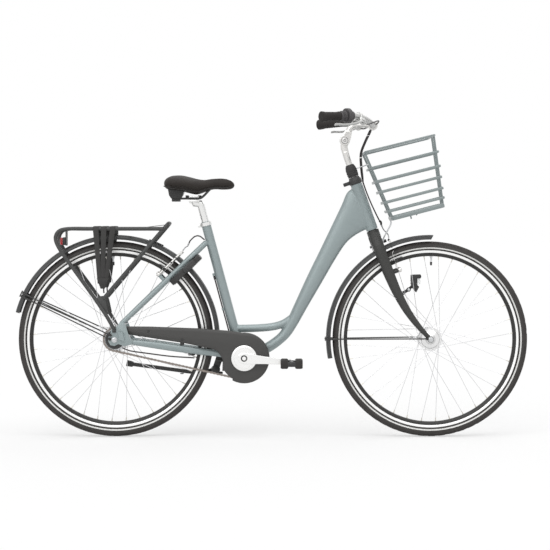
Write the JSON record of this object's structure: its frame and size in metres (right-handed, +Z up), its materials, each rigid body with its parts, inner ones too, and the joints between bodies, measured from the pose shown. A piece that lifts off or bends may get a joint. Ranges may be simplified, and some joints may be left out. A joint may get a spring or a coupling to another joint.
{
  "type": "bicycle",
  "caption": "Step-through city bicycle with mudguards, tube rear carrier, slatted front basket, ring lock, chain case and rim brakes.",
  "frame": {"origin": "centre of the bounding box at the level that both tyres stand on", "axes": "+X forward, the way the bicycle rides; +Z up; the chain side is at -Y"},
  "size_m": [1.839, 0.6326, 1.1663],
  "materials": {
    "frame_paint": "satin",
    "dark_paint": "satin",
    "black_metal": "satin",
    "black_plastic": "matte",
    "rubber": "matte",
    "tyre": "matte",
    "silver": "satin",
    "steel": "satin",
    "red_lens": "gloss",
    "saddle_cover": "matte"
  },
  "bodies": {
    "frame": {"frame": "frame_paint", "seat_collar": "black_metal", "headset_cup": "black_plastic", "rear_axle": "steel", "rear_mudguard": "dark_paint", "rear_mudguard_stays": "black_metal", "carrier": "dark_paint", "rear_light": "red_lens", "carrier_straps": "rubber", "chain_case": "black_plastic", "chain": "steel", "ring_lock": "black_plastic", "rear_brake_cable": "black_plastic", "shift_cable": "black_plastic"},
    "ring_lock_bolt": {"ring_lock_bolt": "steel"},
    "kickstand": {"kickstand": "black_metal"},
    "seat": {"seatpost": "silver", "saddle": "saddle_cover", "saddle_rails": "black_metal"},
    "fork": {"fork": "dark_paint", "front_axle": "steel", "front_mudguard": "dark_paint", "front_mudguard_stay": "black_metal", "headlight": "black_plastic", "basket": "frame_paint", "headset_boot": "rubber", "quill": "silver", "front_brake_cable": "black_plastic"},
    "handlebar": {"stem_arm": "silver", "handlebar": "silver", "grip_right": "rubber", "grip_left": "rubber", "brake_clamp_left": "black_plastic", "brake_clamp_right": "black_plastic"},
    "brake_lever_left": {"brake_lever_left": "silver"},
    "brake_lever_right": {"brake_lever_right": "silver"},
    "twist_shifter": {"twist_shifter": "rubber"},
    "front_wheel": {"front_tyre": "tyre", "front_inner_tube": "rubber", "front_rim": "silver", "front_spokes_left": "steel", "front_spokes_right": "steel", "front_hub": "silver"},
    "rear_wheel": {"rear_tyre": "tyre", "rear_inner_tube": "rubber", "rear_rim": "silver", "rear_spokes_left": "steel", "rear_spokes_right": "steel", "rear_hub": "silver"},
    "rear_sprocket": {"rear_sprocket": "steel"},
    "crank": {"chainring": "steel", "crank_right": "silver", "crank_left": "silver", "crank_spindle": "steel"},
    "pedal_right": {"pedal_right": "black_plastic"},
    "pedal_left": {"pedal_left": "black_plastic"},
    "front_brake_arm_left": {"front_brake_arm_left": "silver"},
    "front_brake_arm_right": {"front_brake_arm_right": "silver"},
    "rear_brake_arm_left": {"rear_brake_arm_left": "silver"},
    "rear_brake_arm_right": {"rear_brake_arm_right": "silver"}
  },
  "joints": [
    {"name": "steering", "type": "hinge", "parent": "frame", "child": "fork", "pos_m": [0.30422, 0, 0.9066], "axis": [-0.3322, 0, 0.9432], "range_deg": [-60, 60]},
    {"name": "stem_tilt", "type": "hinge", "parent": "fork", "child": "handlebar", "pos_m": [0.26344, 0, 1.0625], "axis": [0, 1, 0], "range_deg": [-35, 10]},
    {"name": "seat_height", "type": "slide", "parent": "frame", "child": "seat", "axis": [-0.2604, 0, 0.9655], "range_m": [-0.04, 0.06]},
    {"name": "front_wheel_spin", "type": "hinge", "parent": "fork", "child": "front_wheel", "pos_m": [0.56915, 0, 0.35], "axis": [0, 1, 0], "continuous": true},
    {"name": "rear_wheel_spin", "type": "hinge", "parent": "frame", "child": "rear_wheel", "pos_m": [-0.55885, 0, 0.35], "axis": [0, 1, 0], "continuous": true},
    {"name": "crank_spin", "type": "hinge", "parent": "frame", "child": "crank", "pos_m": [-0.09685, 0, 0.284], "axis": [0, 1, 0], "continuous": true},
    {"name": "sprocket_spin", "type": "hinge", "parent": "frame", "child": "rear_sprocket", "pos_m": [-0.55885, -0.045, 0.35], "axis": [0, 1, 0], "continuous": true},
    {"name": "pedal_right_spin", "type": "hinge", "parent": "crank", "child": "pedal_right", "pos_m": [0.0725, -0.13, 0.26918], "axis": [0, 1, 0], "continuous": true},
    {"name": "pedal_left_spin", "type": "hinge", "parent": "crank", "child": "pedal_left", "pos_m": [-0.26621, 0.13, 0.29882], "axis": [0, 1, 0], "continuous": true},
    {"name": "lock_bolt_turn", "type": "hinge", "parent": "frame", "child": "ring_lock_bolt", "pos_m": [-0.31559, 0, 0.58912], "axis": [-0.6927, 0, 0.7212], "range_deg": [0, 86]},
    {"name": "kickstand_fold", "type": "hinge", "parent": "frame", "child": "kickstand", "pos_m": [-0.20686, 0.047, 0.238], "axis": [0.28, -0.96, 0], "range_deg": [0, 125]},
    {"name": "lever_left_pull", "type": "hinge", "parent": "handlebar", "child": "brake_lever_left", "pos_m": [0.32168, 0.22924, 1.12396], "axis": [0.34, 0.5964, 0.7271], "range_deg": [0, 10], "stiffness_Nm_per_rad": 1.5, "springref_deg": -5.73},
    {"name": "lever_right_pull", "type": "hinge", "parent": "handlebar", "child": "brake_lever_right", "pos_m": [0.32168, -0.22924, 1.12396], "axis": [-0.34, 0.5964, -0.7271], "range_deg": [0, 10], "stiffness_Nm_per_rad": 1.5, "springref_deg": -5.73},
    {"name": "shifter_twist", "type": "hinge", "parent": "handlebar", "child": "twist_shifter", "pos_m": [0.25568, -0.24931, 1.13836], "axis": [-0.8391, -0.5416, -0.0519], "range_deg": [0, 120]},
    {"name": "front_arm_left_swing", "type": "hinge", "parent": "fork", "child": "front_brake_arm_left", "pos_m": [0.4468, 0.04, 0.59445], "axis": [0.9432, 0, 0.3322], "range_deg": [0, 3.2]},
    {"name": "front_arm_right_swing", "type": "hinge", "parent": "fork", "child": "front_brake_arm_right", "pos_m": [0.4468, -0.04, 0.59445], "axis": [-0.9432, 0, -0.3322], "range_deg": [0, 3.2]},
    {"name": "rear_arm_left_swing", "type": "hinge", "parent": "frame", "child": "rear_brake_arm_left", "pos_m": [-0.40352, 0.04, 0.58217], "axis": [0.6927, 0, -0.7212], "range_deg": [0, 3.2]},
    {"name": "rear_arm_right_swing", "type": "hinge", "parent": "frame", "child": "rear_brake_arm_right", "pos_m": [-0.40352, -0.04, 0.58217], "axis": [-0.6927, 0, 0.7212], "range_deg": [0, 3.2]}
  ],
  "couplings": [
    {"joint": "sprocket_spin", "follows": "crank_spin", "ratio": 1.9},
    {"joint": "front_arm_left_swing", "follows": "lever_left_pull", "ratio": 0.28},
    {"joint": "front_arm_right_swing", "follows": "lever_left_pull", "ratio": 0.28},
    {"joint": "rear_arm_left_swing", "follows": "lever_right_pull", "ratio": 0.28},
    {"joint": "rear_arm_right_swing", "follows": "lever_right_pull", "ratio": 0.28}
  ]
}
